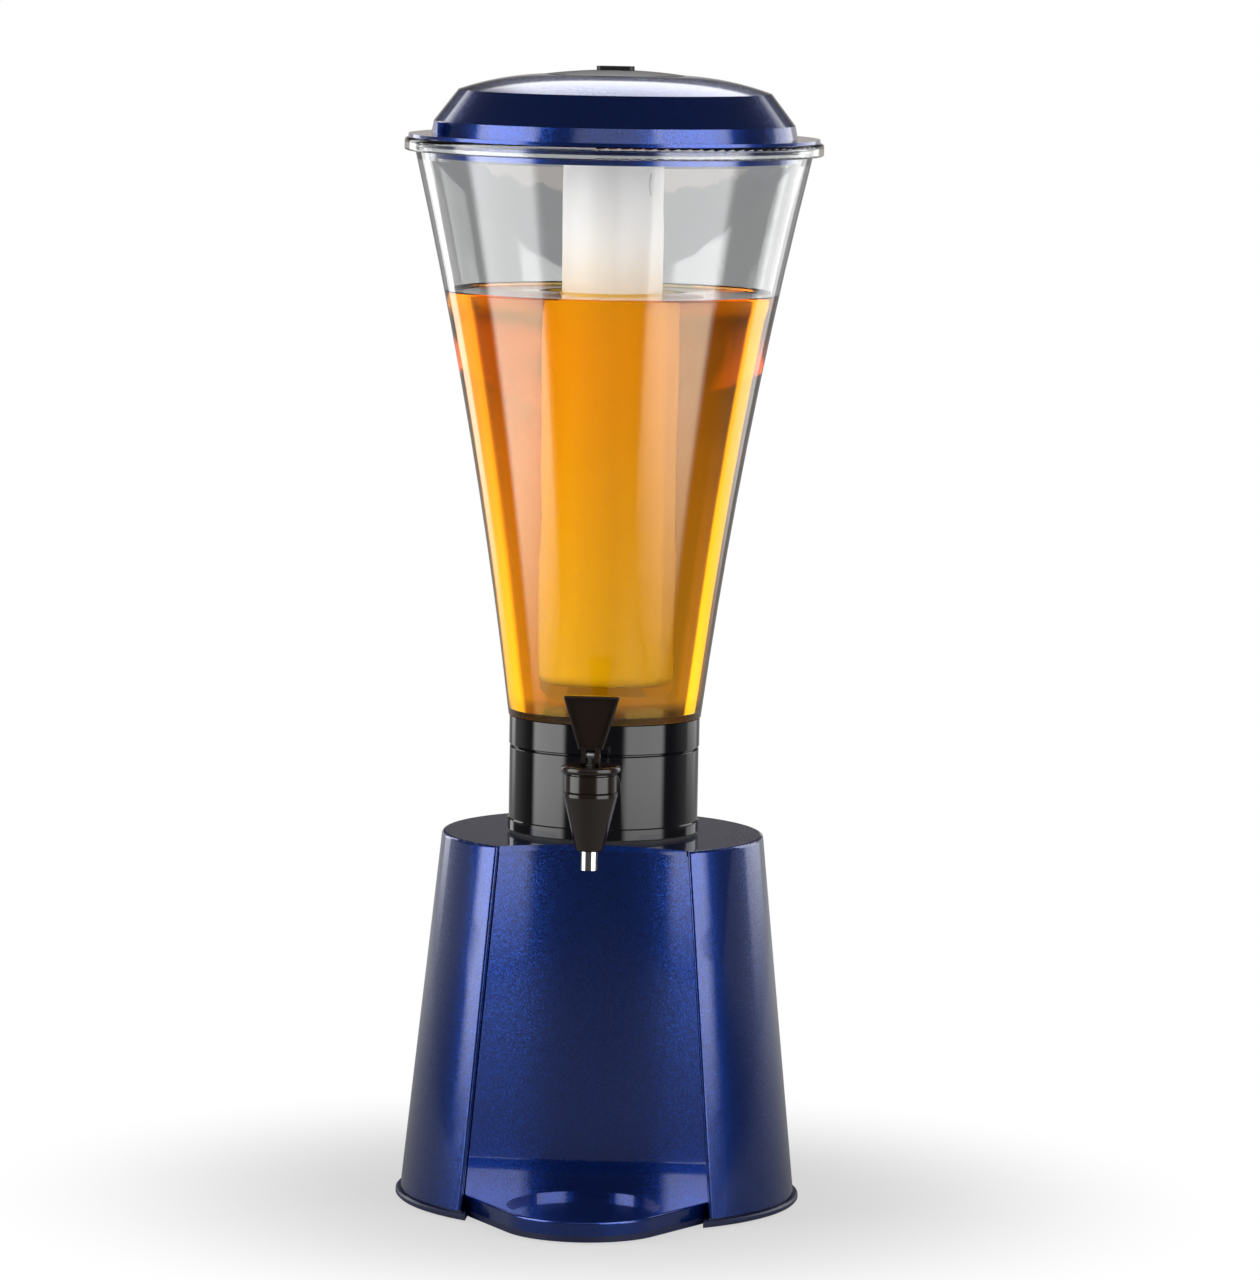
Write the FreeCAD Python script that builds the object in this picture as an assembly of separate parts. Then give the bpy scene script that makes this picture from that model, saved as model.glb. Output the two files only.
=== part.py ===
import FreeCAD, Part
import math
import os

V = FreeCAD.Vector
UP = V(0, 0, 1)

# The tower stands on z = 0 with its axis on z, and the tap faces -y. Millimetres and degrees.

# Rubber feet and bottom plate
foot_r = 7.0
foot_t = 2.2
foot_proud = 1.2
foot_in = 13.1
foot_angles = (-27.0, 30.0, 90.0, 150.0, 207.0)
front_foot_in = 17.3
plate_t = 3.2
plate_reach = 2.6
plate_bevel = 0.8
groove_h = 0.8
groove_depth = 1.2

# Base shell: a round skirt that narrows upwards and carries a flat deck
base_h = 196.0
base_foot_r = 105.1
base_top_r = 85.0
base_wall = 3.0
deck_round = 1.8
wing_round = 1.3
boss_r = 4.5
boss_h = 15.0
boss_angles = (-40.0, 0.0, 60.0, 120.0, 180.0, 220.0)
screw_head_r = 3.4
screw_head_t = 1.8
screw_r = 1.6
screw_len = 12.0

# Bay in the front of the base, where the glass stands
bay_top_half = 49.4
bay_foot_half = 65.2
bay_wall_y = 48.5
bay_r = 105.0
deck_front_y = 53.5
deck_front_r = 97.0
return_t = 2.5
panel_t = 2.5
panel_lip = 9.0
seam = 0.4

# Tray: a tongue that runs out of the bay, with a round rest for the glass
tray_top = 12.0
tray_wall = 2.5
tray_round = 1.4
tray_corner_y = 70.5
rest_r = 40.0
rest_gap = 3.0
rest_depth = 3.0
rest_lip = 3.8
tray_boss_r = 4.0
tray_boss_x = 48.0
tray_boss_y = 66.0

# Lower tank, which stands on the deck and carries the tap
gasket_t = 2.0
gasket_in = 1.0
tank_r = 50.0
tank_wall = 4.0
tank_floor = 4.5
tank_band_out = 0.6
tank_band_h = 5.3
tank_h = 44.0
neck_r = 38.0
neck_wall = 4.0
neck_len = 14.0
nut_wall = 5.4
nut_h = 8.0
nut_rib = 1.4
nut_ribs = 12
thread_play = 0.2

# Coupling ring between the lower tank and the barrel
ring_out = 0.3
ring_h = 16.0
ring_groove = 0.6
spigot_wall = 2.4
spigot_h = 7.5
web_t = 1.9
seal_t = 1.8
socket_play = 0.2

# Barrel: a clear flared wall with a rolled lip
barrel_foot_out = 0.9
barrel_shoulder_r = 103.45
barrel_shoulder_h = 292.8
flare_sag = 3.95
mouth_rise = 10.6
barrel_wall = 3.6
barrel_spigot_in = 2.5
lip_out = 6.55
lip_drop = 6.7
lip_t = 2.4
lip_round = 1.8
mouth_round = 0.6

# Lid with its plug ring, seal and two lugs
lid_gap = 0.25
lid_flange_in = 2.0
lid_flange_t = 1.7
lid_wall = 2.4
plug_play = 3.25
plug_wall = 2.4
plug_depth = 9.8
band_in = 1.8
band_draft = 1.4
band_h = 7.0
crease_in = 12.6
crease_h = 23.4
crown_mid_h = 29.54
lid_seal_h = 3.0
lid_seal_depth = 1.1
lug_w = 6.6
lug_h = 7.0
lug_out = 3.4
lug_angle = 205.0

# Ice tube that hangs from the lid, and its cap
tube_r = 26.5
tube_wall = 2.0
tube_rise = 18.35
tube_round = 6.0
tube_flange_t = 2.0
tube_play = 0.4
mark_drop = 52.4
mark_h = 12.0
mark_w = 5.0
mark_depth = 0.8
mark_angle = -43.0
cap_seat_h = 30.4
cap_r = 35.9
cap_edge_t = 1.6
cap_crown = 2.4
cap_gap = 0.2
cap_plug_wall = 2.6
cap_plug_depth = 7.0
cap_play = 0.35
oring_r = 0.9
grip_len = 20.0
grip_w = 6.0
grip_h = 2.0
grip_round = 2.9

# Tap body, spout and shank, with heights above and below the shank's axis
shank_rise = 28.0
tip_drop = 37.5
cone_drop = 27.5
seat_drop = 12.0
bead_rise = 1.0
thread_rise = 6.6
tap_rise = 13.0
tap_cone_r = 7.4
tap_body_r = 13.7
tap_bead = 0.5
tap_bead_h = 2.2
spout_r = 4.9
spout_wall = 0.8
spout_socket = 8.0
valve_port_r = 4.2
chamber_r = 9.2
tap_thread_r = 10.9
shank_r = 6.5
shank_bore_r = 4.4
tap_neck_r = 8.6
shoulder_r = 12.2
shoulder_t = 3.0
tank_pad_r = 12.6
tank_pad_out = 1.6
washer_r = 11.4
washer_t = 2.0
shank_nut_flats = 19.0
shank_nut_t = 5.0
shank_tail = 1.5
hole_play = 0.2

# Bonnet, stem, spring and seat cup
bonnet_r = 15.5
bonnet_t = 4.0
bonnet_round = 1.7
bonnet_plug_h = 6.0
stem_r = 3.0
stem_play = 0.08
cup_r = 6.4
cup_t = 4.0
cup_gap = 0.1
stem_flange_r = 5.6
stem_flange_t = 1.5
spring_wire = 0.9
spring_pocket_r = 6.2
spring_pocket_h = 4.0
spring_end_gap = 0.1

# Lever: two cam cheeks on a pin under a flat paddle
pin_r = 1.25
pin_play = 0.05
pin_height = 4.7
eye_t = 4.0
cheek_gap = 0.2
cheek_t = 2.5
lever_pull = 45.0
valve_lift = 4.0
cam_gap = 0.1
cam_back = 4.2
cam_steps = 6
paddle_gap = 0.3
paddle_h = 28.0
paddle_foot_w = 12.4
paddle_top_w = 29.4
paddle_t = 7.0
paddle_frame = 1.7
paddle_recess = 1.0
paddle_round = 0.8


# Heights, radii and places that follow from the sizes above
plate_z = foot_proud
plate_top = plate_z + plate_t
shell_z = plate_top + groove_h
deck_under = base_h - base_wall
rest_y = bay_wall_y + rest_gap + rest_r
front_foot_y = rest_y + rest_r + rest_lip - front_foot_in
bay_axis_y = bay_wall_y + bay_r
deck_axis_y = deck_front_y + deck_front_r
foot_ring_r = base_foot_r - foot_in
tank_z = base_h + gasket_t
tank_top = tank_z + tank_h
spigot_top = tank_top + spigot_h
web_top = spigot_top + web_t
seal_top = web_top + seal_t
ring_foot = tank_top + ring_groove
tank_band_r = tank_r + tank_band_out
ring_r = tank_r + ring_out
barrel_foot_r = tank_r + barrel_foot_out
barrel_mid_r = (barrel_foot_r + barrel_shoulder_r) / 2 - flare_sag
barrel_spigot_r = tank_r - barrel_spigot_in
lip_r = barrel_shoulder_r + lip_out
lid_flange_r = lip_r - lid_flange_in
ring_top = ring_foot + ring_h
barrel_mid_z = ring_top + barrel_shoulder_h / 2
barrel_shoulder_z = ring_top + barrel_shoulder_h
lip_top = barrel_shoulder_z + mouth_rise
flange_z = lip_top + lid_gap
band_z = flange_z + lid_flange_t
crease_z = band_z + crease_h
crown_mid_z = band_z + crown_mid_h
cap_seat_z = band_z + cap_seat_h
tube_seat_z = cap_seat_z - tube_flange_t
tube_bottom = ring_top + tube_rise
pour_y = rest_y
shank_z = tank_z + shank_rise
tap_tip = shank_z - tip_drop
tap_cone_z = shank_z - cone_drop
valve_seat_z = shank_z - seat_drop
bead_z = shank_z + bead_rise
chamber_top = shank_z + thread_rise
tap_top = shank_z + tap_rise
bonnet_top = tap_top + bonnet_t
spring_top = tap_top - bonnet_plug_h + spring_pocket_h
cup_z = valve_seat_z + cup_gap
stem_flange_z = cup_z + cup_t
stem_flat_z = bonnet_top - valve_lift - cam_gap
pin_z = bonnet_top + pin_height
paddle_z = pin_z + stem_r + paddle_gap
paddle_top_z = paddle_z + paddle_h
pad_out_y = tank_r + tank_pad_out
pad_in_y = tank_r - tank_wall - tank_pad_out
shoulder_y = pad_out_y + washer_t
nut_y = pad_in_y - washer_t
shank_end_y = nut_y - shank_nut_t - shank_tail

# How far the middle of a quarter round lies inside its corner, for each unit of radius
corner_ease = 1 - math.sqrt(0.5)


def base_r(z):
    """Outer radius of the skirt at height z."""
    return base_foot_r + (base_top_r - base_foot_r) * z / base_h


def bay_half(z):
    """Half width of the bay's opening at height z."""
    return bay_foot_half + (bay_top_half - bay_foot_half) * z / base_h


def circle_through(a, b, c):
    """Centre and radius of the circle through three (r, z) points."""
    ax, ay = a
    bx, by = b
    cx, cy = c
    d = 2 * (ax * (by - cy) + bx * (cy - ay) + cx * (ay - by))
    sa = ax * ax + ay * ay
    sb = bx * bx + by * by
    sc = cx * cx + cy * cy
    x = (sa * (by - cy) + sb * (cy - ay) + sc * (ay - by)) / d
    y = (sa * (cx - bx) + sb * (ax - cx) + sc * (bx - ax)) / d
    return x, y, math.hypot(ax - x, ay - y)


flare = circle_through((barrel_foot_r, ring_top), (barrel_mid_r, barrel_mid_z),
                       (barrel_shoulder_r, barrel_shoulder_z))


def barrel_r(z):
    """Outer radius of the barrel's flare at height z."""
    x, y, radius = flare
    reach = math.sqrt(radius * radius - (z - y) * (z - y))
    return x + math.copysign(reach, barrel_mid_r - x)


# Radii of the lid, which follow the barrel's mouth
plug_mid_z = flange_z - plug_depth / 2
plug_r = barrel_r(plug_mid_z) - barrel_wall - plug_play
band_foot_r = plug_r - band_in
band_top_r = band_foot_r - band_draft
crease_r = band_top_r - crease_in


def outline(start, *steps):
    """Closed wire in the r-z plane: (r, z) is a line, (mid r, mid z, r, z) an arc."""
    edges = []
    here = V(start[0], 0, start[1])
    for step in steps + (start,):
        end = V(step[-2], 0, step[-1])
        if here.distanceToPoint(end) < 1e-6:
            continue
        if len(step) == 4:
            edges.append(Part.Arc(here, V(step[0], 0, step[1]), end).toShape())
        else:
            edges.append(Part.LineSegment(here, end).toShape())
        here = end
    return Part.Wire(edges)


def turned(start, *steps):
    """Solid turned about the tower's axis from an outline in the r-z plane."""
    face = Part.Face(outline(start, *steps))
    return face.revolve(V(0, 0, 0), UP, 360)


def tube(inner, outer, z0, z1):
    """Round tube about the tower's axis."""
    return turned((inner, z0), (outer, z0), (outer, z1), (inner, z1))


def disc(radius, z0, z1, x=0.0, y=0.0):
    """Upright cylinder between two heights."""
    return Part.makeCylinder(radius, z1 - z0, V(x, y, z0), UP)


def rod_y(radius, y0, y1, z):
    """Cylinder along y, from y0 to y1."""
    return Part.makeCylinder(radius, y1 - y0, V(0, y0, z), V(0, 1, 0))


def rod_x(radius, half, z):
    """Cylinder along x, of the same reach to each side of the axis."""
    return Part.makeCylinder(radius, 2 * half, V(-half, 0, z), V(1, 0, 0))


def slab(points, z0, z1):
    """Straight prism over a plan of (x, y) points."""
    wire = Part.makePolygon([V(x, y, z0) for x, y in points + points[:1]])
    return Part.Face(wire).extrude(V(0, 0, z1 - z0))


def polar(radius, degrees):
    """Plan position at a radius and an angle from +x."""
    turn = math.radians(degrees)
    return radius * math.cos(turn), radius * math.sin(turn)


def at_tap(shape):
    """Moves a solid made on the tower's axis to the tap's axis."""
    return shape.translated(V(0, -pour_y, 0))


def save(name, shape):
    """Writes one piece, or one group of like pieces, under its node's name."""
    clean = shape if isinstance(shape, Part.Compound) else shape.removeSplitter()
    clean.exportStep("parts/" + name + ".step")


# Base

def bay_wedge(margin, z0, z1):
    """Space of the bay's opening: straight sides that close in upwards, margin to each side."""
    low = bay_half(z0) + margin
    high = bay_half(z1) + margin
    points = [V(-low, 0, z0), V(low, 0, z0), V(high, 0, z1), V(-high, 0, z1)]
    face = Part.Face(Part.makePolygon(points + points[:1]))
    return face.extrude(V(0, -2 * base_foot_r, 0))


def skirt(inset, z0, z1):
    """Solid skirt with its outer face drawn in by inset."""
    return Part.makeCone(base_r(z0) - inset, base_r(z1) - inset, z1 - z0, V(0, 0, z0), UP)


def fillet_near(shape, radius, test):
    """Rounds the edges whose middle passes a test."""
    edges = [edge for edge in shape.Edges if test(edge.CenterOfMass, edge)]
    return shape.makeFillet(radius, edges)


def screw_spots():
    """Plan positions of the screws that hold the shell on the bottom plate."""
    reach = base_r(shell_z + boss_h) - base_wall - boss_r + groove_depth
    return [polar(reach, angle) for angle in boss_angles]


def tray_screw_spots():
    """Plan positions of the screws that hold the tray on the bottom plate."""
    return [(side * tray_boss_x, -tray_boss_y) for side in (-1, 1)]


def wing_rounding(side):
    """Cutter that rounds the long edge where the skirt's face meets the bay."""
    wires = []
    for z in (shell_z, base_h):
        half = bay_half(z)
        outer = base_r(z)
        x = half + wing_round
        y = math.sqrt((outer - wing_round) ** 2 - x * x)
        out = V(x, -y, 0).normalize()
        centre = V(x, -y, z)
        on_side = centre + V(-wing_round, 0, 0)
        on_skirt = centre + out * wing_round
        middle = centre + (out + V(-1, 0, 0)).normalize() * wing_round
        clear_side = on_side + V(-wing_round, 0, 0)
        clear_skirt = on_skirt + out * wing_round
        corner = V(clear_side.x, clear_skirt.y - wing_round, z)
        edges = [Part.Arc(on_skirt, middle, on_side).toShape()]
        path = [on_side, clear_side, corner, clear_skirt, on_skirt]
        edges += [Part.LineSegment(a, b).toShape() for a, b in zip(path, path[1:])]
        wires.append(Part.Wire(edges))
    cutter = Part.makeLoft(wires, True, True)
    return cutter if side > 0 else cutter.mirror(V(0, 0, 0), V(1, 0, 0))


def make_base_shell():
    """Skirt, deck and the bay's two return walls in one moulding."""
    body = skirt(0, shell_z, base_h)
    body = fillet_near(body, deck_round, lambda c, e: c.z > deck_under and len(e.Vertexes) == 1)
    hollow = skirt(base_wall, shell_z, deck_under)
    behind = disc(bay_r + panel_t, shell_z, deck_under, 0, -bay_axis_y)
    returns = bay_wedge(return_t, shell_z, deck_under).common(behind)
    shell = body.cut(hollow).fuse(hollow.common(returns))
    front = disc(2 * base_foot_r, shell_z, deck_under)
    front = front.fuse(disc(deck_front_r, deck_under, base_h, 0, -deck_axis_y))
    shell = shell.cut(bay_wedge(0, shell_z, base_h).common(front))
    for side in (-1, 1):
        shell = shell.cut(wing_rounding(side))
    bosses = skirt(base_wall / 2, shell_z, base_h)
    for x, y in screw_spots():
        shell = shell.fuse(disc(boss_r, shell_z, shell_z + boss_h, x, y).common(bosses))
    for x, y in screw_spots():
        shell = shell.cut(disc(screw_r, shell_z, plate_z + screw_len, x, y))
    return shell.cut(disc(neck_r + hole_play, deck_under, base_h))


def make_front_panel():
    """Upright hollow-curved wall at the back of the bay, with a foot lip."""
    top = deck_under - seam
    sheet = disc(bay_r + panel_t, tray_top, top, 0, -bay_axis_y)
    sheet = sheet.cut(disc(bay_r, tray_top, top, 0, -bay_axis_y))
    lip = disc(bay_r + panel_lip, tray_top, tray_top + panel_t, 0, -bay_axis_y)
    lip = lip.cut(disc(bay_r, tray_top, tray_top + panel_t, 0, -bay_axis_y))
    inside = bay_wedge(-seam, tray_top, top).common(skirt(base_wall + seam, tray_top, top))
    return sheet.fuse(lip).common(inside)


def tray_plan(inset, z0, z1):
    """Tongue and the ledge under the front panel, drawn in by inset."""
    radius = rest_r + rest_lip - inset
    half = bay_half(tray_top) - seam - inset
    corner = tray_corner_y - inset
    reach = math.hypot(half, rest_y - corner)
    swing = math.acos(radius / reach) + math.atan2(-(rest_y - corner), half)
    tx = radius * math.cos(swing)
    ty = rest_y + radius * math.sin(swing)
    back = bay_wall_y
    tongue = slab([(-half, -back), (half, -back), (half, -corner), (tx, -ty), (-tx, -ty),
                   (-half, -corner)], z0, z1)
    tongue = tongue.fuse(disc(radius, z0, z1, 0, -rest_y))
    ledge = disc(bay_r + panel_lip - inset, z0, z1, 0, -bay_axis_y)
    ledge = ledge.common(slab([(-half, 0), (half, 0), (half, -corner), (-half, -corner)], z0, z1))
    return tongue.fuse(ledge).removeSplitter()


def make_base_tray():
    """Hollow tongue with a round rest for the glass."""
    body = tray_plan(0, plate_top, tray_top)
    body = fillet_near(body, tray_round,
                       lambda c, e: c.z > tray_top - tray_wall and c.y < -tray_corner_y and
                       e.BoundBox.ZLength < tray_round)
    hollow = tray_plan(tray_wall, plate_top, tray_top - tray_wall)
    under_rest = disc(rest_r + tray_wall, tray_top - rest_depth - tray_wall, tray_top, 0, -rest_y)
    hollow = hollow.cut(under_rest)
    for x, y in tray_screw_spots():
        hollow = hollow.cut(disc(tray_boss_r, plate_top, tray_top, x, y))
    body = body.cut(hollow)
    body = body.cut(disc(rest_r, tray_top - rest_depth, tray_top, 0, -rest_y))
    for x, y in tray_screw_spots():
        body = body.cut(disc(screw_r, plate_top, tray_top - tray_wall / 2, x, y))
    return body


def foot_spots():
    """Plan positions of the rubber feet."""
    return [polar(foot_ring_r, angle) for angle in foot_angles] + [(0, -front_foot_y)]


def make_bottom_plate():
    """Floor of the base: a round plate with a tongue under the tray and a locating ring."""
    edge_r = base_r(shell_z) + plate_reach
    rim_r = edge_r - plate_bevel
    plate = turned((0, plate_z), (rim_r, plate_z), (edge_r, plate_z + plate_bevel),
                   (edge_r, plate_top - plate_bevel), (rim_r, plate_top), (0, plate_top))
    half = bay_half(shell_z) - plate_reach
    back = tray_corner_y - plate_reach
    front = 2 * base_foot_r
    notch = slab([(-half, -back), (half, -back), (half, -front), (-half, -front)], plate_z, plate_top)
    plate = plate.cut(notch).fuse(tray_plan(0, plate_z, plate_top))
    seat_r = base_r(shell_z) - groove_depth
    seat = tube(seat_r - base_wall + groove_depth, seat_r, plate_top, shell_z)
    seat = seat.cut(bay_wedge(0, plate_top, shell_z))
    plate = plate.fuse(seat)
    for x, y in foot_spots():
        plate = plate.cut(disc(foot_r + hole_play, plate_z, foot_t, x, y))
    for x, y in screw_spots() + tray_screw_spots():
        plate = plate.cut(disc(screw_r + hole_play, plate_z, shell_z, x, y))
        plate = plate.cut(disc(screw_head_r + hole_play, plate_z, plate_z + screw_head_t, x, y))
    return plate


def make_rubber_feet():
    """Six round feet pressed into pockets in the plate."""
    return Part.makeCompound([disc(foot_r, 0, foot_t, x, y) for x, y in foot_spots()])


def screw(x, y, length):
    """Pan-head screw pointing up, with its head in the plate's counterbore."""
    head = disc(screw_head_r, plate_z + groove_h / 2, plate_z + screw_head_t, x, y)
    return head.fuse(disc(screw_r, plate_z + screw_head_t, plate_z + length, x, y)).removeSplitter()


def make_base_screws():
    """Screws through the plate, long ones into the shell and short ones into the tray."""
    short = tray_top - tray_wall - plate_z
    screws = [screw(x, y, screw_len) for x, y in screw_spots()]
    screws += [screw(x, y, short) for x, y in tray_screw_spots()]
    return Part.makeCompound(screws)


# Lower tank and coupling ring

def make_neck_gasket():
    """Flat ring between the deck and the lower tank."""
    return tube(neck_r + hole_play, tank_r - gasket_in, base_h, tank_z)


def make_tap_collar():
    """Lower tank: floor, wall, upper spigot, threaded neck below and a flat pad for the tap."""
    inner = tank_r - tank_wall
    spigot = inner + spigot_wall
    neck_in = neck_r - neck_wall
    neck_foot = tank_z - gasket_t - neck_len
    band_top = tank_z + tank_band_h
    floor_z = tank_z + tank_floor
    tank = turned(
        (0, tank_z), (neck_in, tank_z), (neck_in, neck_foot), (neck_r, neck_foot), (neck_r, tank_z),
        (tank_band_r, tank_z), (tank_band_r, band_top), (tank_r, band_top + tank_band_r - tank_r),
        (tank_r, tank_top - ring_groove), (tank_r - ring_groove, tank_top), (spigot, tank_top),
        (spigot, spigot_top), (inner, spigot_top), (inner, floor_z), (0, floor_z))
    pad = rod_y(tank_pad_r, -pad_out_y, -pad_in_y, shank_z)
    bore = rod_y(shank_r + hole_play, -pad_out_y, -pad_in_y, shank_z)
    return tank.fuse(pad).cut(bore)


def make_neck_nut():
    """Ring nut that draws the lower tank down on the deck, with grip ribs."""
    inner = neck_r + thread_play
    outer = inner + nut_wall
    nut = tube(inner, outer, deck_under - nut_h, deck_under)
    for index in range(nut_ribs):
        x, y = polar(outer, 360.0 * index / nut_ribs)
        nut = nut.fuse(disc(nut_rib, deck_under - nut_h, deck_under - nut_rib, x, y))
    return nut


def make_collar_ring():
    """Ring with a lower socket for the tank, an upper socket for the barrel and a web between."""
    lower = tank_r - tank_wall + spigot_wall + socket_play
    upper = barrel_spigot_r + socket_play
    web_in = barrel_spigot_r - barrel_wall
    return turned(
        (lower, ring_foot), (ring_r - ring_groove, ring_foot), (ring_r, ring_foot + ring_groove),
        (ring_r, ring_top - ring_groove), (ring_r - ring_groove, ring_top), (upper, ring_top),
        (upper, web_top), (web_in, web_top), (web_in, spigot_top), (lower, spigot_top))


def make_barrel_seal():
    """Flat seal under the barrel's spigot."""
    return tube(barrel_spigot_r - barrel_wall, barrel_spigot_r, web_top, seal_top)


# Barrel

def make_barrel():
    """Clear flared wall, straight spigot at the foot and rolled lip at the mouth."""
    spigot_in = barrel_spigot_r - barrel_wall
    inner_foot = ring_top + barrel_wall
    skirt_in = lip_r - lip_t
    neck_z = lip_top - lip_t - lip_round
    lip_low = lip_top - lip_drop
    soft = lip_t / 2
    ease = corner_ease * lip_round
    return turned(
        (spigot_in, seal_top), (barrel_spigot_r, seal_top), (barrel_spigot_r, ring_top),
        (barrel_foot_r, ring_top),
        (barrel_mid_r, barrel_mid_z, barrel_shoulder_r, barrel_shoulder_z),
        (barrel_r(neck_z), neck_z), (barrel_r(neck_z) + lip_round, lip_top - lip_t),
        (skirt_in, lip_top - lip_t), (skirt_in, lip_low + soft),
        (lip_r - soft, lip_low, lip_r, lip_low + soft), (lip_r, lip_top - lip_round),
        (lip_r - ease, lip_top - ease, lip_r - lip_round, lip_top),
        (barrel_r(lip_top) - barrel_wall + mouth_round, lip_top),
        (barrel_r(barrel_shoulder_z) - barrel_wall, barrel_shoulder_z),
        (barrel_mid_r - barrel_wall, barrel_mid_z, barrel_r(inner_foot) - barrel_wall, inner_foot),
        (spigot_in, ring_top))


# Lid

def make_lid():
    """Domed lid: flange, band, sloped skirt, crowned top, recess for the cap and plug ring."""
    hole = tube_r + tube_play
    recess = cap_r + tube_play
    rim_z = cap_seat_z + cap_edge_t
    band_top = band_z + band_h
    seal_foot = plug_mid_z - lid_seal_h / 2
    seal_head = plug_mid_z + lid_seal_h / 2
    crown_mid_r = (crease_r + recess) / 2
    crown_in = crown_mid_z - lid_wall
    floor_z = tube_seat_z - lid_gap
    return turned(
        (plug_r, flange_z), (lid_flange_r, flange_z), (lid_flange_r, band_z), (band_foot_r, band_z),
        (band_top_r, band_top), (crease_r, crease_z),
        (crown_mid_r, crown_mid_z, recess, rim_z), (recess, floor_z), (hole, floor_z),
        (hole, floor_z - lid_wall), (recess, floor_z - lid_wall),
        (crown_mid_r, crown_in - lid_gap, crease_r - lid_wall / 2, crease_z - lid_wall),
        (band_top_r - lid_wall, band_top - lid_wall / 2), (band_foot_r - lid_wall, band_z),
        (plug_r - plug_wall, flange_z), (plug_r - plug_wall, flange_z - plug_depth),
        (plug_r, flange_z - plug_depth), (plug_r, seal_foot), (plug_r - lid_seal_depth, seal_foot),
        (plug_r - lid_seal_depth, seal_head), (plug_r, seal_head))


def with_lugs(lid):
    """Adds the two small lugs that stand on the flange against the band."""
    for turn in (lug_angle, lug_angle + 180):
        lug = Part.makeBox(lug_out + lid_wall / 2, lug_w, lug_h,
                           V(band_foot_r - lid_wall / 2, -lug_w / 2, band_z - lid_gap))
        lug.rotate(V(0, 0, 0), UP, turn)
        lid = lid.fuse(lug)
    return lid


def make_lid_seal():
    """Soft ring in the plug's groove, just clear of the barrel."""
    foot = plug_mid_z - lid_seal_h / 2
    head = plug_mid_z + lid_seal_h / 2
    inner = plug_r - lid_seal_depth
    outer = barrel_r(foot) - barrel_wall - lid_gap
    bulge = lid_seal_h / 4
    return turned((inner, foot), (outer - bulge, foot),
                  (outer, plug_mid_z, outer - bulge, head), (inner, head))


# Ice tube and cap

def make_ice_tube():
    """Closed tube with a hanging flange and two shallow waisted marks near its top."""
    inner = tube_r - tube_wall
    inner_round = tube_round - tube_wall
    low = tube_bottom + tube_round
    inner_foot = tube_bottom + tube_wall
    ease = corner_ease * tube_round
    inner_ease = corner_ease * inner_round
    body = turned(
        (0, tube_bottom), (tube_r - tube_round, tube_bottom),
        (tube_r - ease, tube_bottom + ease, tube_r, low),
        (tube_r, tube_seat_z), (cap_r - cap_gap, tube_seat_z), (cap_r - cap_gap, cap_seat_z),
        (inner, cap_seat_z), (inner, low),
        (inner - inner_ease, inner_foot + inner_ease, inner - inner_round, inner_foot),
        (0, inner_foot))
    half = mark_w / 2
    tall = mark_h / 2
    points = [V(0, -half, -tall), V(0, half, -tall), V(0, half / 2, 0), V(0, half, tall),
              V(0, -half, tall), V(0, -half / 2, 0)]
    for turn in (mark_angle, mark_angle + 180):
        mark = Part.Face(Part.makePolygon(points + points[:1])).extrude(V(2 * mark_depth, 0, 0))
        mark.translate(V(tube_r - mark_depth, 0, tube_seat_z - mark_drop))
        mark.rotate(V(0, 0, 0), UP, turn)
        body = body.cut(mark)
    return body


def make_tube_cap():
    """Low crowned cap with a plug, a groove for its O-ring and a bar to grip."""
    low = cap_seat_z + cap_gap
    edge = low + cap_edge_t
    plug = tube_r - tube_wall - cap_play
    groove_z = low - cap_plug_depth / 2
    inner = plug - cap_plug_wall
    crown = edge + cap_crown
    half_way = crown - cap_crown / 4
    cap = turned(
        (0, low), (inner, low), (inner, low - cap_plug_depth), (plug, low - cap_plug_depth),
        (plug, groove_z - oring_r), (plug - oring_r, groove_z - oring_r),
        (plug - oring_r, groove_z + oring_r), (plug, groove_z + oring_r), (plug, low),
        (cap_r, low), (cap_r, edge), (cap_r / 2, half_way, 0, crown))
    grip = Part.makeBox(grip_len, grip_w, cap_crown + grip_h, V(-grip_len / 2, -grip_w / 2, edge))
    grip = fillet_near(grip, grip_round, lambda c, e: e.BoundBox.ZLength > grip_h)
    return cap.fuse(grip)


def make_cap_oring():
    """O-ring in the cap's groove."""
    middle = cap_seat_z + cap_gap - cap_plug_depth / 2
    inner = tube_r - tube_wall - cap_play - oring_r
    return turned((inner, middle - oring_r), (inner + oring_r, middle - oring_r),
                  (inner + oring_r + cap_play / 2, middle, inner + oring_r, middle + oring_r),
                  (inner, middle + oring_r))


# Tap

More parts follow.
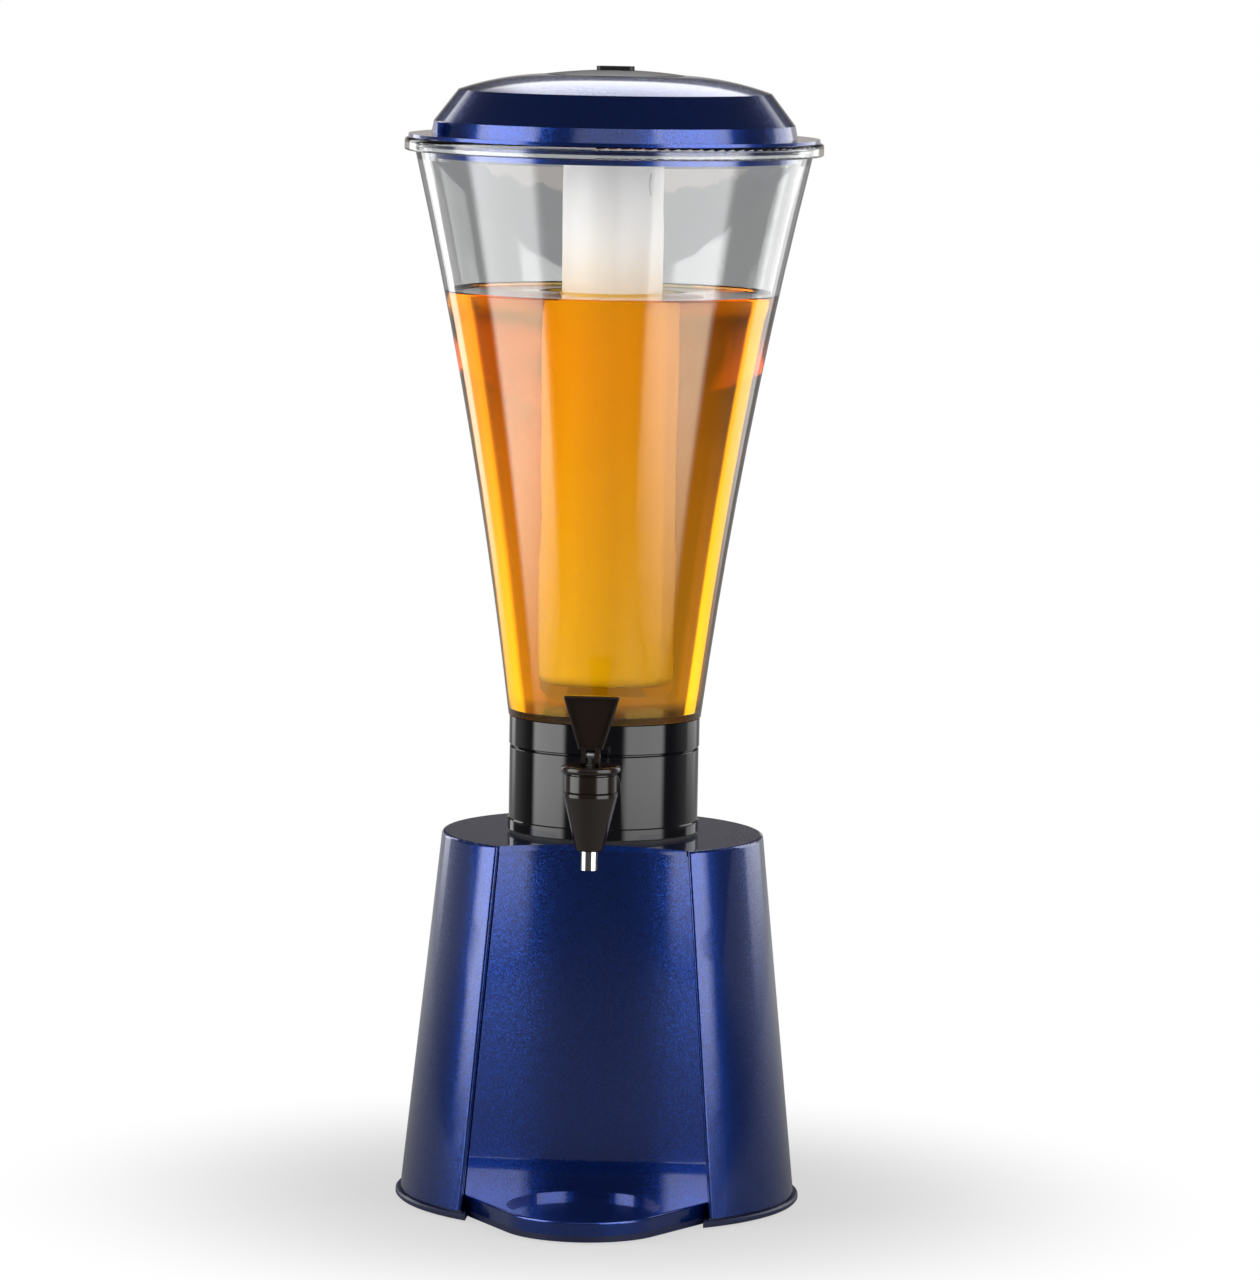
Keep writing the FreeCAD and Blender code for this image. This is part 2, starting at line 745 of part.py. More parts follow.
def make_tap_body():
    """Tapered body with valve chamber, spout socket, and a threaded shank to the tank."""
    bead_r = tap_body_r + tap_bead
    groove_r = tap_body_r - tap_bead
    groove_z = bead_z + tap_bead_h
    body = turned(
        (0, tap_cone_z), (tap_cone_r - tap_bead, tap_cone_z), (tap_cone_r, tap_cone_z + tap_bead),
        (bead_r, bead_z), (bead_r, groove_z - tap_bead), (groove_r, groove_z),
        (tap_body_r, groove_z + tap_bead), (tap_body_r, tap_top - 2 * tap_bead),
        (groove_r, tap_top - tap_bead), (groove_r, tap_top), (0, tap_top))
    body = at_tap(body)
    body = body.fuse(rod_y(tap_neck_r, -pour_y, -shoulder_y, shank_z))
    body = body.fuse(rod_y(shoulder_r, -shoulder_y - shoulder_t, -shoulder_y, shank_z))
    body = body.fuse(rod_y(shank_r, -shoulder_y, -shank_end_y, shank_z))
    body = body.cut(rod_y(shank_bore_r, -pour_y, -shank_end_y, shank_z))
    bores = disc(tap_thread_r + hole_play, chamber_top, tap_top)
    bores = bores.fuse(disc(chamber_r, valve_seat_z, chamber_top))
    bores = bores.fuse(disc(valve_port_r, tap_cone_z, valve_seat_z))
    bores = bores.fuse(disc(spout_r + stem_play, tap_cone_z, tap_cone_z + spout_socket))
    return body.cut(at_tap(bores))


def make_spout_tube():
    """Bright metal tube pushed into the tap's foot."""
    return at_tap(tube(spout_r - spout_wall, spout_r, tap_tip, tap_cone_z + spout_socket))


def washer(y0):
    """Flat washer on the shank, from y0 towards the tank's axis."""
    ring = rod_y(washer_r, y0, y0 + washer_t, shank_z)
    return ring.cut(rod_y(shank_r + hole_play, y0, y0 + washer_t, shank_z))


def make_shank_nut():
    """Hexagon nut on the shank inside the lower tank."""
    corner = shank_nut_flats / math.sqrt(3)
    points = [polar(corner, 60 * index) for index in range(6)]
    wire = Part.makePolygon([V(x, -nut_y, shank_z + z) for x, z in points + points[:1]])
    nut = Part.Face(wire).extrude(V(0, shank_nut_t, 0))
    return nut.cut(rod_y(shank_r + thread_play, -nut_y, -nut_y + shank_nut_t, shank_z))


def make_tap_bonnet():
    """Screw cap of the valve chamber, with a rounded flange and a pocket for the spring."""
    low = tap_top - bonnet_plug_h
    flat_r = bonnet_r - bonnet_round
    ease = corner_ease * bonnet_round
    return at_tap(turned(
        (stem_r + stem_play, spring_top), (spring_pocket_r, spring_top), (spring_pocket_r, low),
        (tap_thread_r, low), (tap_thread_r, tap_top), (flat_r, tap_top),
        (bonnet_r - ease, tap_top + ease, bonnet_r, tap_top + bonnet_round),
        (bonnet_r, bonnet_top - bonnet_round),
        (bonnet_r - ease, bonnet_top - ease, flat_r, bonnet_top),
        (stem_r + stem_play, bonnet_top)))


def make_valve_spring():
    """Space that the closed spring fills between the stem's flange and the bonnet."""
    low = stem_flange_z + stem_flange_t + spring_end_gap
    inner = stem_r + cheek_gap
    return at_tap(tube(inner, inner + 2 * spring_wire, low, spring_top - spring_end_gap))


def make_valve_stem():
    """Stem with a spring flange and a flattened eye for the lever's pin."""
    stem = disc(stem_r, cup_z + cup_t / 2, pin_z)
    stem = stem.fuse(disc(stem_flange_r, stem_flange_z, stem_flange_z + stem_flange_t))
    stem = stem.fuse(rod_x(stem_r, stem_r, pin_z))
    reach = 2 * stem_r
    flats = Part.makeBox(2 * reach, 2 * reach, pin_z + reach - stem_flat_z, V(-reach, -reach, stem_flat_z))
    eye = Part.makeBox(eye_t, 2 * reach, pin_z + reach - stem_flat_z, V(-eye_t / 2, -reach, stem_flat_z))
    stem = stem.cut(flats.cut(eye))
    return at_tap(stem.cut(rod_x(pin_r + pin_play, reach, pin_z)))


def make_seat_cup():
    """Soft cup on the stem's foot that closes the port."""
    cup = disc(cup_r, cup_z, stem_flange_z)
    return at_tap(cup.cut(disc(stem_r, cup_z + cup_t / 2, stem_flange_z)))


def cam_wire():
    """Cheek outline in the y-z plane about the pin: flat heel, then a cam that lifts evenly.

    The cam's distance from the pin, square to the bonnet, grows by the same amount for
    each degree of pull, so the curve is an involute and the stem's lift follows the pull.
    """
    rate = valve_lift / math.radians(lever_pull)
    base = pin_height - cam_gap

    def point(turn):
        support = base + rate * turn
        y = -support * math.sin(turn) - rate * math.cos(turn)
        z = -support * math.cos(turn) + rate * math.sin(turn)
        return V(0, y, z)

    reach = math.radians(lever_pull)
    curve = Part.BSplineCurve()
    curve.interpolate([point(reach * index / cam_steps) for index in range(cam_steps + 1)])
    top = paddle_z + paddle_frame - pin_z
    corners = [point(reach), V(0, -paddle_t / 2, top), V(0, paddle_t / 2, top),
               V(0, cam_back, -base), point(0)]
    edges = [Part.LineSegment(a, b).toShape() for a, b in zip(corners, corners[1:])]
    return Part.Wire([curve.toShape()] + edges)


def paddle_face(inset):
    """Paddle's front outline about the tap's axis, drawn in by inset on every side."""
    slope = (paddle_top_w - paddle_foot_w) / 2 / paddle_h
    side = inset * math.hypot(1, slope)
    low = paddle_foot_w / 2 + slope * inset - side
    high = paddle_top_w / 2 - slope * inset - side
    z0 = paddle_z + inset
    z1 = paddle_top_z - inset
    points = [V(-low, 0, z0), V(low, 0, z0), V(high, 0, z1), V(-high, 0, z1)]
    return Part.Face(Part.makePolygon(points + points[:1]))


def make_tap_lever():
    """Paddle with a recessed face, on two cam cheeks that straddle the stem's eye."""
    front = paddle_t / 2
    paddle = paddle_face(0).extrude(V(0, -paddle_t, 0)).translated(V(0, front, 0))
    lever = paddle.makeFillet(paddle_round, paddle.Edges)
    cheek = Part.Face(cam_wire()).extrude(V(cheek_t, 0, 0))
    for x in (eye_t / 2 + cheek_gap, -eye_t / 2 - cheek_gap - cheek_t):
        lever = lever.fuse(cheek.translated(V(x, 0, pin_z)))
    recess = paddle_face(paddle_frame).extrude(V(0, -front, 0))
    lever = lever.cut(recess.translated(V(0, paddle_recess - front, 0)))
    return at_tap(lever.cut(rod_x(pin_r + pin_play, paddle_foot_w, pin_z)))


def make_lever_pin():
    """Pin through both cheeks and the stem's eye."""
    return at_tap(rod_x(pin_r, eye_t / 2 + cheek_gap + cheek_t, pin_z))


def build():
    """Makes every piece and writes it."""
    os.makedirs("parts", exist_ok=True)
    save("rubber_feet", make_rubber_feet())
    save("bottom_plate", make_bottom_plate())
    save("base_screws", make_base_screws())
    save("base_shell", make_base_shell())
    save("front_panel", make_front_panel())
    save("base_tray", make_base_tray())
    save("neck_gasket", make_neck_gasket())
    save("neck_nut", make_neck_nut())
    save("tap_collar", make_tap_collar())
    save("collar_ring", make_collar_ring())
    save("barrel_seal", make_barrel_seal())
    save("barrel", make_barrel())
    save("lid", with_lugs(make_lid()))
    save("lid_seal", make_lid_seal())
    save("ice_tube", make_ice_tube())
    save("tube_cap", make_tube_cap())
    save("cap_oring", make_cap_oring())
    save("tap_body", make_tap_body())
    save("spout_tube", make_spout_tube())
    save("shank_washer_outer", washer(-shoulder_y))
    save("shank_washer_inner", washer(-pad_in_y))
    save("shank_nut", make_shank_nut())
    save("tap_bonnet", make_tap_bonnet())
    save("valve_spring", make_valve_spring())
    save("valve_stem", make_valve_stem())
    save("seat_cup", make_seat_cup())
    save("tap_lever", make_tap_lever())
    save("lever_pin", make_lever_pin())


build()
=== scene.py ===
import math

import bmesh
import bpy
from mathutils import Matrix, Vector
from mathutils.bvhtree import BVHTree


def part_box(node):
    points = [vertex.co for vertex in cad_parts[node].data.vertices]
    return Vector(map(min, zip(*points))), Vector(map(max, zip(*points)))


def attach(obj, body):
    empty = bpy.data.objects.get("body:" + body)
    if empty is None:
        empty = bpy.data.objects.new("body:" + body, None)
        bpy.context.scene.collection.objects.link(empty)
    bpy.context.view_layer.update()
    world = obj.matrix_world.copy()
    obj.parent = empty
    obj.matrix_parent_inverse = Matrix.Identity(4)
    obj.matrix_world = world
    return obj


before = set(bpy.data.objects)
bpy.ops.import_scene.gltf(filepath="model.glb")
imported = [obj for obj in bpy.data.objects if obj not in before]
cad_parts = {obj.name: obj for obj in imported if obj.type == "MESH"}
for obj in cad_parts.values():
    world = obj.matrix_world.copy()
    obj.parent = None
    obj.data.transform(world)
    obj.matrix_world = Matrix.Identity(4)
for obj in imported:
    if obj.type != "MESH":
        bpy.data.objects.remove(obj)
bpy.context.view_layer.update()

MM = 0.001

# Camera, from the photograph's perspective: it stands level with a point a little above the lid and looks
# slightly down
AIM_HEIGHT = 298.3 * MM
AIM_RIGHT = 12.7 * MM
CAMERA_AZIMUTH = math.radians(4.0)
CAMERA_ELEVATION = math.radians(6.24)
CAMERA_DISTANCE = 3650 * MM
CAMERA_ROLL = math.radians(1.0)
FRAME_HEIGHT = 676.5 * MM
SENSOR = 36.0
CLIP_NEAR = 0.05
CLIP_FAR = 100

# Drink in the barrel
FILL_LEVEL = 481.5 * MM
DRINK_FOOT = 251.6 * MM
WALL_BITE = 0.4 * MM
MENISCUS = 1.6 * MM
DRINK_RINGS = 40
ROUND_STEPS = 160
AXIS_RADIUS = 1e-7
BETWEEN_WALLS = 30 * MM
TUBE_FOOT_STEPS = (6.0, 4.0, 2.4, 1.2, 0.5)

# Light and surroundings, as linear brightness where 1 is white
ROOM = (0.07, 0.068, 0.066)
BACKDROP = (0.46, 0.43, 0.41)
FLOOR = (0.30, 0.30, 0.30)
EDGE_FADE = 0.16
BEHIND_FROM, BEHIND_TO = 0.3, 0.9
LOW_FROM, LOW_TO = 0.16, 0.04
FLOOR_HALF = 12.0
FLOOR_WHITE_FROM, FLOOR_WHITE_TO = 0.10, 0.34
FLOOR_LEAST_WHITE = 0.6
FLOOR_BEHIND_TO = 1.2
FLOOR_BEHIND_WHITE = 0.3

# Lamps: name, azimuth in degrees from the front, centre height, distance, width, height, brightness
LAMPS = (
    ("left_box", -66, 0.52, 0.82, 0.80, 1.10, 4.2),
    ("right_box", 54, 0.52, 0.82, 0.92, 1.10, 3.6),
    ("front_box", 6, 1.30, 1.6, 2.0, 0.6, 1.2),
    ("back_top_box", 180, 1.34, 1.2, 0.8, 0.7, 2.2),
    ("right_rim", 138, 0.6, 1.3, 0.80, 1.2, 1.5),
    ("left_rim", -138, 0.6, 1.3, 0.34, 1.2, 2.0),
)

# Grain and wear of the surfaces, in waves a metre, and the blue plastic's flake
FLAKES = 2600.0
FLAKE_TILT = 0.16
GLOSS_WAVE = 90.0
GRAIN_WAVE = 3200.0
WEAR_WAVE = 400.0
CLEAR_WAVE = 60.0
FROST_WAVE = 120.0


def node(name):
    """CAD object of a node."""
    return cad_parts[name]


# Materials

def material(name):
    """New node material with its tree and its Principled shader."""
    made = bpy.data.materials.new(name)
    made.use_nodes = True
    return made, made.node_tree, made.node_tree.nodes["Principled BSDF"]


def add(tree, kind, **inputs):
    """New node; inputs are set by name, and a socket given as a value is linked."""
    made = tree.nodes.new(kind)
    for name, value in inputs.items():
        plug(tree, made, name.replace("_", " "), value)
    return made


def plug(tree, target, name, value):
    """Sets an input to a number or colour, or links it to another node's socket."""
    if isinstance(value, bpy.types.NodeSocket):
        tree.links.new(value, target.inputs[name])
    else:
        target.inputs[name].default_value = value


def maths(tree, operation, a, b):
    """Maths node on two values or sockets."""
    made = tree.nodes.new("ShaderNodeMath")
    made.operation = operation
    plug(tree, made, 0, a)
    plug(tree, made, 1, b)
    return made.outputs[0]


def place(tree):
    """Position on the object, in metres, for textures."""
    return tree.nodes.new("ShaderNodeTexCoord").outputs["Object"]


def noise(tree, scale, detail=2.0):
    """Noise value from 0 to 1 at a scale given in waves a metre."""
    made = add(tree, "ShaderNodeTexNoise", Vector=place(tree), Scale=scale, Detail=detail)
    return made.outputs["Fac"]


def spread(tree, value, low, high):
    """Maps a value from 0..1 to low..high."""
    made = add(tree, "ShaderNodeMapRange", Value=value)
    made.inputs["To Min"].default_value = low
    made.inputs["To Max"].default_value = high
    return made.outputs["Result"]


def ease(tree, value, start, end):
    """Rises smoothly from 0 at start to 1 at end."""
    made = add(tree, "ShaderNodeMapRange", Value=value)
    made.interpolation_type = "SMOOTHSTEP"
    made.inputs["From Min"].default_value = start
    made.inputs["From Max"].default_value = end
    return made.outputs["Result"]


def blend(tree, amount, first, second):
    """Shader mixed from two shaders by an amount or a socket."""
    made = tree.nodes.new("ShaderNodeMixShader")
    plug(tree, made, 0, amount)
    tree.links.new(first, made.inputs[1])
    tree.links.new(second, made.inputs[2])
    return made.outputs[0]


def bump(tree, height, strength, distance):
    """Bump from a height value, distance in metres."""
    made = add(tree, "ShaderNodeBump", Height=height, Strength=strength, Distance=distance)
    return made.outputs["Normal"]


def flake_blue():
    """Dark blue plastic with metal flake under a clear gloss skin."""
    made, tree, shader = material("flake_blue")
    cells = add(tree, "ShaderNodeTexVoronoi", Vector=place(tree), Scale=FLAKES)
    tilt = tree.nodes.new("ShaderNodeVectorMath")
    tilt.operation = "MULTIPLY_ADD"
    tree.links.new(cells.outputs["Color"], tilt.inputs[0])
    tilt.inputs[1].default_value = (FLAKE_TILT,) * 3
    geometry = tree.nodes.new("ShaderNodeNewGeometry")
    shift = tree.nodes.new("ShaderNodeVectorMath")
    shift.operation = "SUBTRACT"
    tree.links.new(geometry.outputs["Normal"], shift.inputs[0])
    shift.inputs[1].default_value = (FLAKE_TILT / 2,) * 3
    tree.links.new(shift.outputs[0], tilt.inputs[2])
    straight = tree.nodes.new("ShaderNodeVectorMath")
    straight.operation = "NORMALIZE"
    tree.links.new(tilt.outputs[0], straight.inputs[0])
    tint = tree.nodes.new("ShaderNodeMix")
    tint.data_type = "RGBA"
    tint.inputs["A"].default_value = (0.002, 0.010, 0.085, 1)
    tint.inputs["B"].default_value = (0.008, 0.055, 0.34, 1)
    tree.links.new(cells.outputs["Color"], tint.inputs["Factor"])
    tree.links.new(tint.outputs["Result"], shader.inputs["Base Color"])
    tree.links.new(straight.outputs[0], shader.inputs["Normal"])
    shader.inputs["Metallic"].default_value = 0.85
    shader.inputs["Roughness"].default_value = 0.26
    shader.inputs["Coat Weight"].default_value = 1.0
    shader.inputs["Coat Roughness"].default_value = 0.04
    return made


def gloss_plastic(name, colour, low, high, grain=0.0):
    """Moulded plastic whose gloss varies a little over the surface."""
    made, tree, shader = material(name)
    shader.inputs["Base Color"].default_value = (*colour, 1)
    tree.links.new(spread(tree, noise(tree, GLOSS_WAVE, 4.0), low, high), shader.inputs["Roughness"])
    if grain:
        tree.links.new(bump(tree, noise(tree, GRAIN_WAVE), 0.4, grain), shader.inputs["Normal"])
    return made


def metal(name, colour, low, high):
    """Bare metal with fine wear in its gloss."""
    made, tree, shader = material(name)
    shader.inputs["Base Color"].default_value = (*colour, 1)
    shader.inputs["Metallic"].default_value = 1.0
    tree.links.new(spread(tree, noise(tree, WEAR_WAVE, 4.0), low, high), shader.inputs["Roughness"])
    return made


def let_light_in(tree, shader, tint):
    """Lets lamps shine through a clear skin, tinted, instead of casting a black shadow."""
    ray = tree.nodes.new("ShaderNodeLightPath")
    through = add(tree, "ShaderNodeBsdfTransparent", Color=(*tint, 1))
    mixed = blend(tree, ray.outputs["Is Shadow Ray"], shader.outputs[0], through.outputs[0])
    tree.links.new(mixed, tree.nodes["Material Output"].inputs["Surface"])


def clear_plastic():
    """Polished clear plastic."""
    made, tree, shader = material("clear_plastic")
    shader.inputs["Base Color"].default_value = (0.97, 0.98, 0.98, 1)
    shader.inputs["Transmission Weight"].default_value = 1.0
    shader.inputs["IOR"].default_value = 1.49
    tree.links.new(spread(tree, noise(tree, CLEAR_WAVE, 5.0), 0.0, 0.03), shader.inputs["Roughness"])
    let_light_in(tree, shader, (0.95, 0.95, 0.95))
    return made


def amber_drink():
    """Clear amber drink: thin layers look yellow and thick ones orange brown."""
    made, tree, shader = material("amber_drink")
    shader.inputs["Base Color"].default_value = (1.0, 0.72, 0.10, 1)
    shader.inputs["Transmission Weight"].default_value = 1.0
    shader.inputs["IOR"].default_value = 1.34
    shader.inputs["Roughness"].default_value = 0.0
    let_light_in(tree, shader, (1.0, 0.84, 0.35))
    soak = add(tree, "ShaderNodeVolumeAbsorption", Color=(0.995, 0.885, 0.05, 1), Density=60.0)
    tree.links.new(soak.outputs[0], tree.nodes["Material Output"].inputs["Volume"])
    return made


def frosted_tube():
    """Milky translucent plastic of the ice tube."""
    made, tree, shader = material("frosted_tube")
    shader.inputs["Base Color"].default_value = (0.93, 0.93, 0.94, 1)
    tree.links.new(spread(tree, noise(tree, FROST_WAVE, 4.0), 0.3, 0.5), shader.inputs["Roughness"])
    glow = add(tree, "ShaderNodeBsdfTranslucent", Color=(0.92, 0.93, 0.94, 1))
    mixed = blend(tree, 0.25, shader.outputs[0], glow.outputs[0])
    tree.links.new(mixed, tree.nodes["Material Output"].inputs["Surface"])
    return made


def dress(made, *names):
    """Gives CAD nodes a material."""
    for name in names:
        slots = node(name).data.materials
        slots.clear()
        slots.append(made)


def dress_nodes():
    """Every CAD node gets its procedural material."""
    dress(flake_blue(), "base_shell", "front_panel", "base_tray", "lid")
    dress(gloss_plastic("plate_plastic", (0.012, 0.016, 0.05), 0.25, 0.4, grain=0.00002),
          "bottom_plate", "neck_nut")
    dress(gloss_plastic("tank_plastic", (0.004, 0.004, 0.005), 0.06, 0.11), "tap_collar", "collar_ring")
    dress(gloss_plastic("tap_plastic", (0.014, 0.009, 0.007), 0.12, 0.22),
          "tap_body", "tap_bonnet", "tap_lever", "shank_nut")
    dress(gloss_plastic("cap_plastic", (0.012, 0.012, 0.013), 0.3, 0.42, grain=0.00003), "tube_cap")
    dress(gloss_plastic("foot_rubber", (0.02, 0.02, 0.02), 0.6, 0.8, grain=0.00005),
          "rubber_feet", "neck_gasket")
    dress(gloss_plastic("seal_rubber", (0.45, 0.46, 0.46), 0.4, 0.6, grain=0.00003),
          "barrel_seal", "lid_seal", "cap_oring", "shank_washer_outer", "shank_washer_inner", "seat_cup")
    dress(metal("spout_metal", (0.75, 0.75, 0.76), 0.08, 0.16), "spout_tube")
    dress(metal("small_metal", (0.6, 0.6, 0.61), 0.25, 0.4),
          "base_screws", "valve_spring", "valve_stem", "lever_pin")
    dress(clear_plastic(), "barrel")
    dress(frosted_tube(), "ice_tube")


# Drink

def reach(tree, start, direction):
    """Distance from the tower's axis at which a level ray meets a node's mesh."""
    hit = tree.ray_cast(start, direction)[0]
    return math.hypot(hit.x, hit.y)


def lathe(name, profile):
    """Closed mesh turned about the tower's axis from (radius, height) points."""
    turns = [math.tau * index / ROUND_STEPS for index in range(ROUND_STEPS)]
    mesh = bmesh.new()
    rings = []
    for radius, height in profile:
        if radius < AXIS_RADIUS:
            rings.append([mesh.verts.new((0, 0, height))])
        else:
            rings.append([mesh.verts.new((radius * math.cos(turn), radius * math.sin(turn), height))
                          for turn in turns])
    for low, high in zip(rings, rings[1:]):
        for index in range(ROUND_STEPS):
            after = (index + 1) % ROUND_STEPS
            corners = [low[index % len(low)], low[after % len(low)],
                       high[after % len(high)], high[index % len(high)]]
            mesh.faces.new(list(dict.fromkeys(corners)))
    bmesh.ops.recalc_face_normals(mesh, faces=mesh.faces)
    data = bpy.data.meshes.new(name)
    mesh.to_mesh(data)
    mesh.free()
    data.shade_smooth()
    made = bpy.data.objects.new(name, data)
    bpy.context.scene.collection.objects.link(made)
    return made


def make_drink():
    """Drink between the barrel's wall and the ice tube, up to the fill level."""
    depsgraph = bpy.context.evaluated_depsgraph_get()
    barrel = BVHTree.FromObject(node("barrel"), depsgraph)
    ice = BVHTree.FromObject(node("ice_tube"), depsgraph)
    tube_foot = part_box("ice_tube")[0].z + WALL_BITE
    wall_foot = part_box("barrel")[0].z + MENISCUS
    outward = Vector((1, 0, 0))

    def wall(z):
        return reach(barrel, Vector((BETWEEN_WALLS, 0, z)), outward) + WALL_BITE

    def tube(z):
        return reach(ice, Vector((BETWEEN_WALLS, 0, z)), -outward) - WALL_BITE

    heights = [DRINK_FOOT + (FILL_LEVEL - DRINK_FOOT) * index / DRINK_RINGS
               for index in range(DRINK_RINGS + 1)]
    profile = [(0, DRINK_FOOT), (wall(wall_foot), DRINK_FOOT)]
    profile += [(wall(z), z) for z in heights if z > wall_foot]
    top_r = wall(FILL_LEVEL)
    tube_r = tube(FILL_LEVEL)
    profile += [(top_r, FILL_LEVEL + MENISCUS), (top_r - MENISCUS, FILL_LEVEL + 0.2 * MENISCUS),
                (top_r - 2.5 * MENISCUS, FILL_LEVEL), (tube_r + 2.5 * MENISCUS, FILL_LEVEL),
                (tube_r + MENISCUS, FILL_LEVEL + 0.2 * MENISCUS), (tube_r, FILL_LEVEL + MENISCUS)]
    round_heights = [tube_foot + step * MM for step in TUBE_FOOT_STEPS]
    profile += [(tube(z), z) for z in round_heights]
    profile += [(tube(round_heights[-1]) - MENISCUS, tube_foot), (0, tube_foot)]
    drink = lathe("drink", profile)
    drink.data.materials.append(amber_drink())
    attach(drink, "tower")


# Stage, light and camera

def spot(azimuth, elevation, distance):
    """Place round the object: azimuth 0 is in front of the tap, positive to the right."""
    flat = distance * math.cos(elevation)
    return Vector((flat * math.sin(azimuth), -flat * math.cos(azimuth), distance * math.sin(elevation)))


def softbox(name, azimuth, centre, distance, width, tall, strength):
    """Rectangular lamp with soft edges that faces the tower's axis; strength is its brightness as seen.

    A lamp above the tower is aimed down at its top.
    """
    lamp = bpy.data.lights.new(name, "AREA")
    lamp.shape = "RECTANGLE"
    lamp.size = width
    lamp.size_y = tall
    lamp.energy = strength * math.pi * width * tall
    lamp.use_nodes = True
    tree = lamp.node_tree
    across = tree.nodes.new("ShaderNodeNewGeometry").outputs["Parametric"]
    split = add(tree, "ShaderNodeSeparateXYZ", Vector=across)
    level = maths(tree, "MULTIPLY", soft_edge(tree, split.outputs[0]), soft_edge(tree, split.outputs[1]))
    tree.links.new(level, tree.nodes["Emission"].inputs["Strength"])
    made = bpy.data.objects.new(name, lamp)
    bpy.context.scene.collection.objects.link(made)
    made.location = spot(math.radians(azimuth), 0, distance) + Vector((0, 0, centre))
    aim = Vector((0, 0, min(centre, AIM_HEIGHT * 2))) - made.location
    made.rotation_mode = "QUATERNION"
    made.rotation_quaternion = aim.to_track_quat("-Z", "Y")
    made.visible_camera = False


def soft_edge(tree, across):
    """Level from 0 at both ends of 0..1 to 1 over most of it."""
    return ease(tree, maths(tree, "PINGPONG", across, 0.5), 0.0, EDGE_FADE)


def make_lights():
    """Soft lamps at both sides, above the front and behind."""
    for lamp in LAMPS:
        softbox(*lamp)


def make_world():
    """White for the camera; metal and glass show a pale low backdrop behind the tower in a dim room."""
    world = bpy.data.worlds.new("studio")
    bpy.context.scene.world = world
    world.use_nodes = True
    tree = world.node_tree
    ray = tree.nodes.new("ShaderNodeLightPath")
    sky = tree.nodes.new("ShaderNodeTexCoord").outputs["Generated"]
    split = add(tree, "ShaderNodeSeparateXYZ", Vector=sky)
    behind = ease(tree, split.outputs[1], BEHIND_FROM, BEHIND_TO)
    low = ease(tree, split.outputs[2], LOW_FROM, LOW_TO)
    pale = maths(tree, "MULTIPLY", behind, low)
    backdrop = add(tree, "ShaderNodeMix")
    backdrop.data_type = "RGBA"
    backdrop.inputs["A"].default_value = (*ROOM, 1)
    backdrop.inputs["B"].default_value = (*BACKDROP, 1)
    tree.links.new(pale, backdrop.inputs["Factor"])
    clear = maths(tree, "MAXIMUM", ray.outputs["Is Glossy Ray"], ray.outputs["Is Transmission Ray"])
    room = add(tree, "ShaderNodeBackground", Color=(*ROOM, 1), Strength=1.0)
    shown = add(tree, "ShaderNodeBackground", Color=backdrop.outputs["Result"], Strength=1.0)
    white = add(tree, "ShaderNodeBackground", Color=(1, 1, 1, 1), Strength=1.0)
    lit = blend(tree, clear, room.outputs[0], shown.outputs[0])
    seen = blend(tree, ray.outputs["Is Camera Ray"], lit, white.outputs[0])
    tree.links.new(seen, tree.nodes["World Output"].inputs["Surface"])


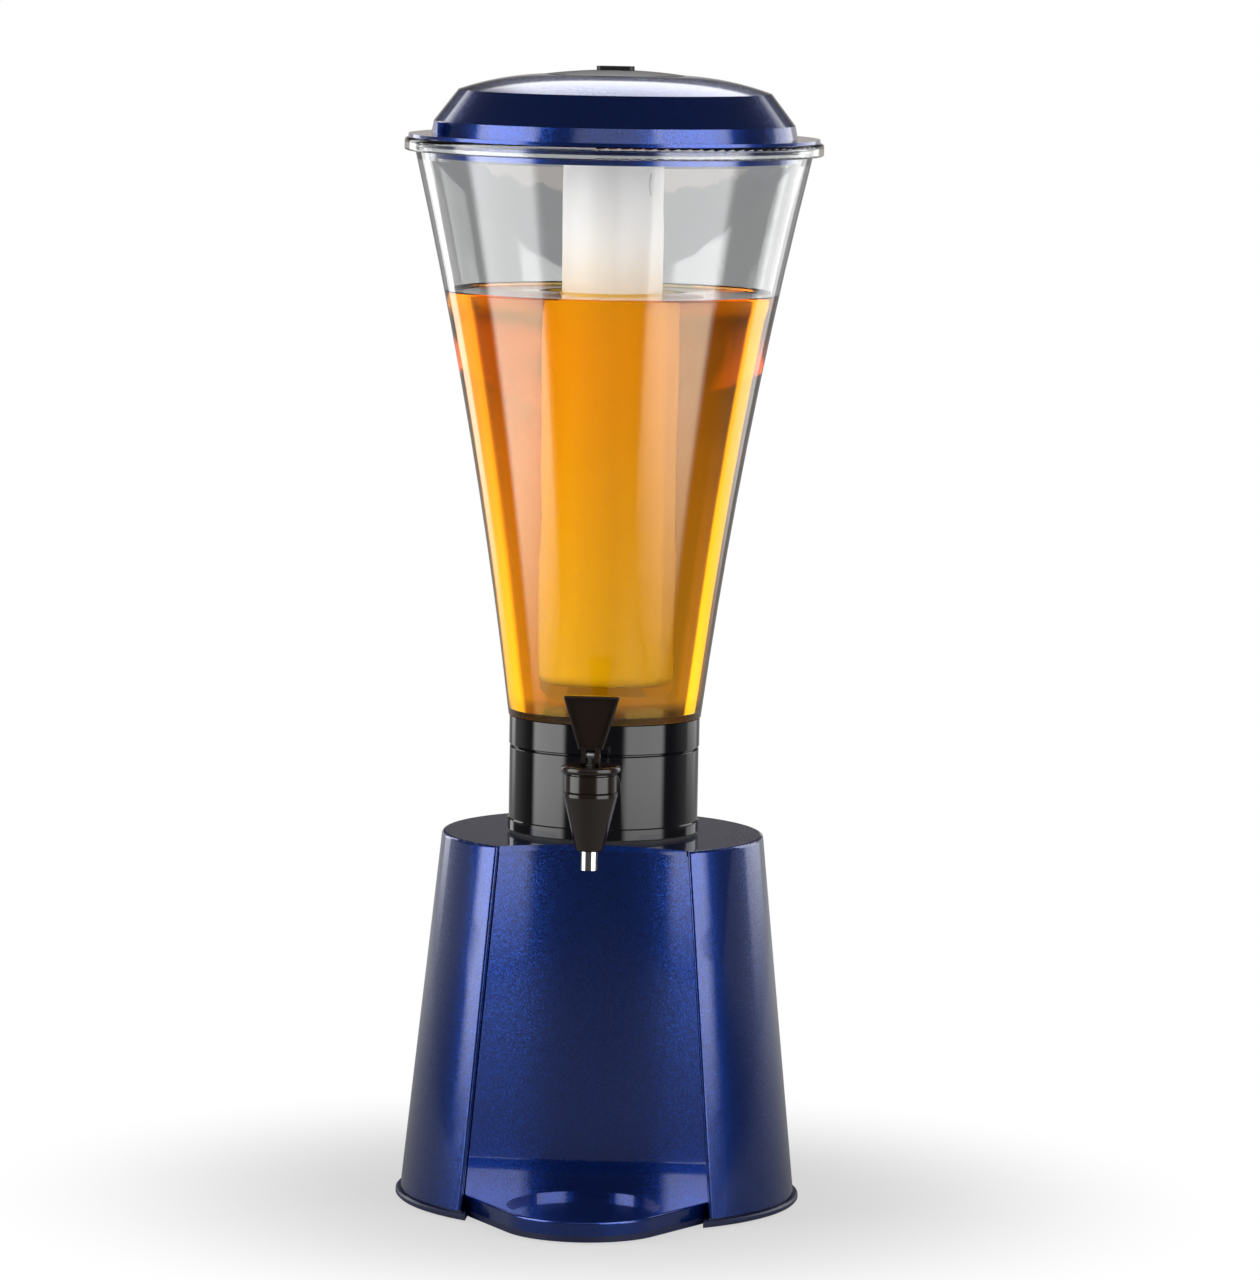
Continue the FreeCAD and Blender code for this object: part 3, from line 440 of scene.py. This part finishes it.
def make_floor():
    """Plain pale floor that fades into the white background away from the object."""
    data = bpy.data.meshes.new("floor")
    corners = [(x * FLOOR_HALF, y * FLOOR_HALF, 0) for x, y in ((-1, -1), (1, -1), (1, 1), (-1, 1))]
    data.from_pydata(corners, [], [(0, 1, 2, 3)])
    floor = bpy.data.objects.new("floor", data)
    bpy.context.scene.collection.objects.link(floor)
    made, tree, shader = material("floor")
    tree.nodes.remove(shader)
    ray = tree.nodes.new("ShaderNodeLightPath")
    matt = add(tree, "ShaderNodeBsdfDiffuse", Color=(*FLOOR, 1))
    far = add(tree, "ShaderNodeEmission", Color=(1, 1, 1, 1), Strength=1.0)
    span = tree.nodes.new("ShaderNodeVectorMath")
    span.operation = "LENGTH"
    tree.links.new(place(tree), span.inputs[0])
    away = ease(tree, span.outputs["Value"], FLOOR_WHITE_FROM, FLOOR_WHITE_TO)
    fade = spread(tree, away, FLOOR_LEAST_WHITE, 1.0)
    split = add(tree, "ShaderNodeSeparateXYZ", Vector=place(tree))
    behind = spread(tree, ease(tree, split.outputs[1], 0.0, FLOOR_BEHIND_TO), 0.0, FLOOR_BEHIND_WHITE)
    clear = maths(tree, "MAXIMUM", ray.outputs["Is Glossy Ray"], ray.outputs["Is Transmission Ray"])
    shown = maths(tree, "MULTIPLY", clear, behind)
    direct = maths(tree, "MULTIPLY", fade, ray.outputs["Is Camera Ray"])
    mixed = blend(tree, maths(tree, "MAXIMUM", direct, shown), matt.outputs[0], far.outputs[0])
    tree.links.new(mixed, tree.nodes["Material Output"].inputs["Surface"])
    data.materials.append(made)


def make_camera():
    """Camera at the photograph's viewing angle."""
    data = bpy.data.cameras.new("camera")
    data.sensor_width = SENSOR
    data.lens = SENSOR * CAMERA_DISTANCE / FRAME_HEIGHT
    data.clip_start = CLIP_NEAR
    data.clip_end = CLIP_FAR
    camera = bpy.data.objects.new("camera", data)
    bpy.context.scene.collection.objects.link(camera)
    back = spot(CAMERA_AZIMUTH, CAMERA_ELEVATION, 1.0)
    right = Vector((math.cos(CAMERA_AZIMUTH), math.sin(CAMERA_AZIMUTH), 0))
    up = back.cross(right)
    leaned_right = right * math.cos(CAMERA_ROLL) + up * math.sin(CAMERA_ROLL)
    leaned_up = up * math.cos(CAMERA_ROLL) - right * math.sin(CAMERA_ROLL)
    turn = Matrix((leaned_right, leaned_up, back)).transposed()
    aim = Vector((0, 0, AIM_HEIGHT)) + right * AIM_RIGHT
    camera.matrix_world = Matrix.Translation(aim + back * CAMERA_DISTANCE) @ turn.to_4x4()
    bpy.context.scene.camera = camera


make_camera()
make_world()
make_floor()
make_lights()
dress_nodes()
make_drink()
bpy.context.scene.view_settings.view_transform = "Standard"
